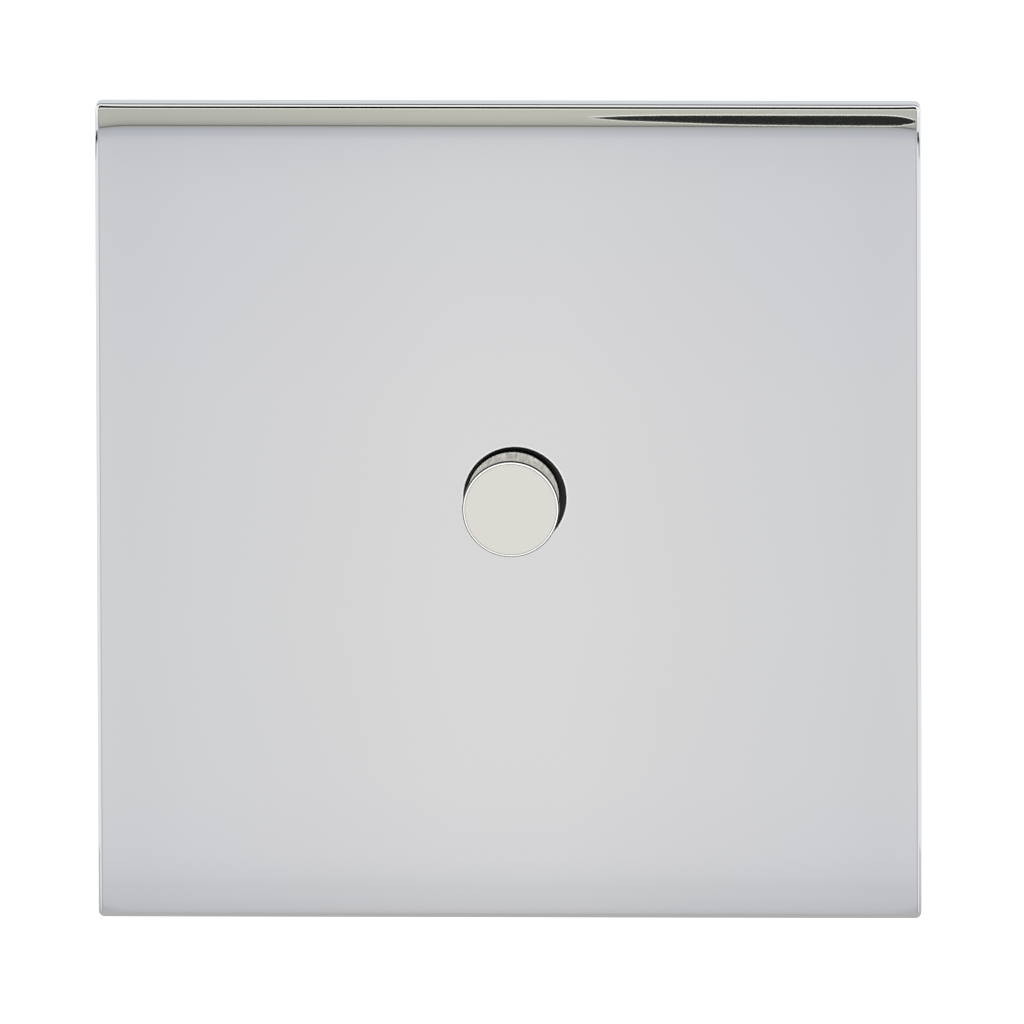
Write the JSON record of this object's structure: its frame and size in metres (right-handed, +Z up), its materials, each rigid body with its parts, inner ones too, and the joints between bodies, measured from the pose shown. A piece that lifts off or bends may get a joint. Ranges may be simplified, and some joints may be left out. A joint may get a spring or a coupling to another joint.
{
  "type": "wall pushbutton switch",
  "caption": "Wall pushbutton switch with a square polished metal cover plate and a round metal button that springs back when pressed.",
  "frame": {"origin": "on the button's axis, midway between the two wall screws, at the wall's surface", "axes": "+X to the right as seen from the front, +Y into the wall along the wall screws, +Z up; the button faces -Y"},
  "size_m": [0.086, 0.0356, 0.086],
  "materials": {
    "plate_chrome": "polished",
    "button_nickel": "polished",
    "stud_steel": "satin",
    "chassis_zinc": "satin",
    "screw_zinc": "gloss",
    "bush_black": "satin",
    "socket_nylon": "satin",
    "nut_brass": "satin",
    "washer_steel": "satin",
    "clip_steel": "satin",
    "plunger_white": "satin",
    "contact_brass": "satin",
    "tip_silver": "satin",
    "spring_steel": "gloss",
    "case_black": "satin",
    "base_grey": "matte",
    "terminal_brass": "satin"
  },
  "bodies": {
    "base": {"chassis": "chassis_zinc", "stud_sockets": "socket_nylon", "box_screws": "screw_zinc", "guide_bush": "bush_black", "lock_washer": "washer_steel", "bush_nut": "nut_brass", "return_spring": "spring_steel", "fixed_contact_left": "contact_brass", "fixed_contact_right": "contact_brass", "fixed_tips": "tip_silver", "terminal_left": "terminal_brass", "terminal_right": "terminal_brass", "terminal_screws": "screw_zinc", "module_housing": "case_black", "module_base": "base_grey", "base_screws": "screw_zinc", "earth_terminal": "terminal_brass", "earth_screw": "screw_zinc"},
    "pushbutton": {"button": "button_nickel", "retaining_clip": "clip_steel", "plunger": "plunger_white", "contact_bridge": "contact_brass", "bridge_tips": "tip_silver", "bridge_clip": "clip_steel", "bridge_spring": "spring_steel"},
    "cover": {"cover_plate": "plate_chrome", "cover_studs": "stud_steel"}
  },
  "joints": [
    {"name": "button_press", "type": "slide", "parent": "base", "child": "pushbutton", "axis": [0, 1, 0], "range_m": [0, 0.0025], "stiffness_N_per_m": 400, "springref_m": -0.0035, "deforming": ["return_spring"]},
    {"name": "cover_pull_off", "type": "slide", "parent": "base", "child": "cover", "axis": [0, -1, 0], "range_m": [0, 0.015]}
  ]
}
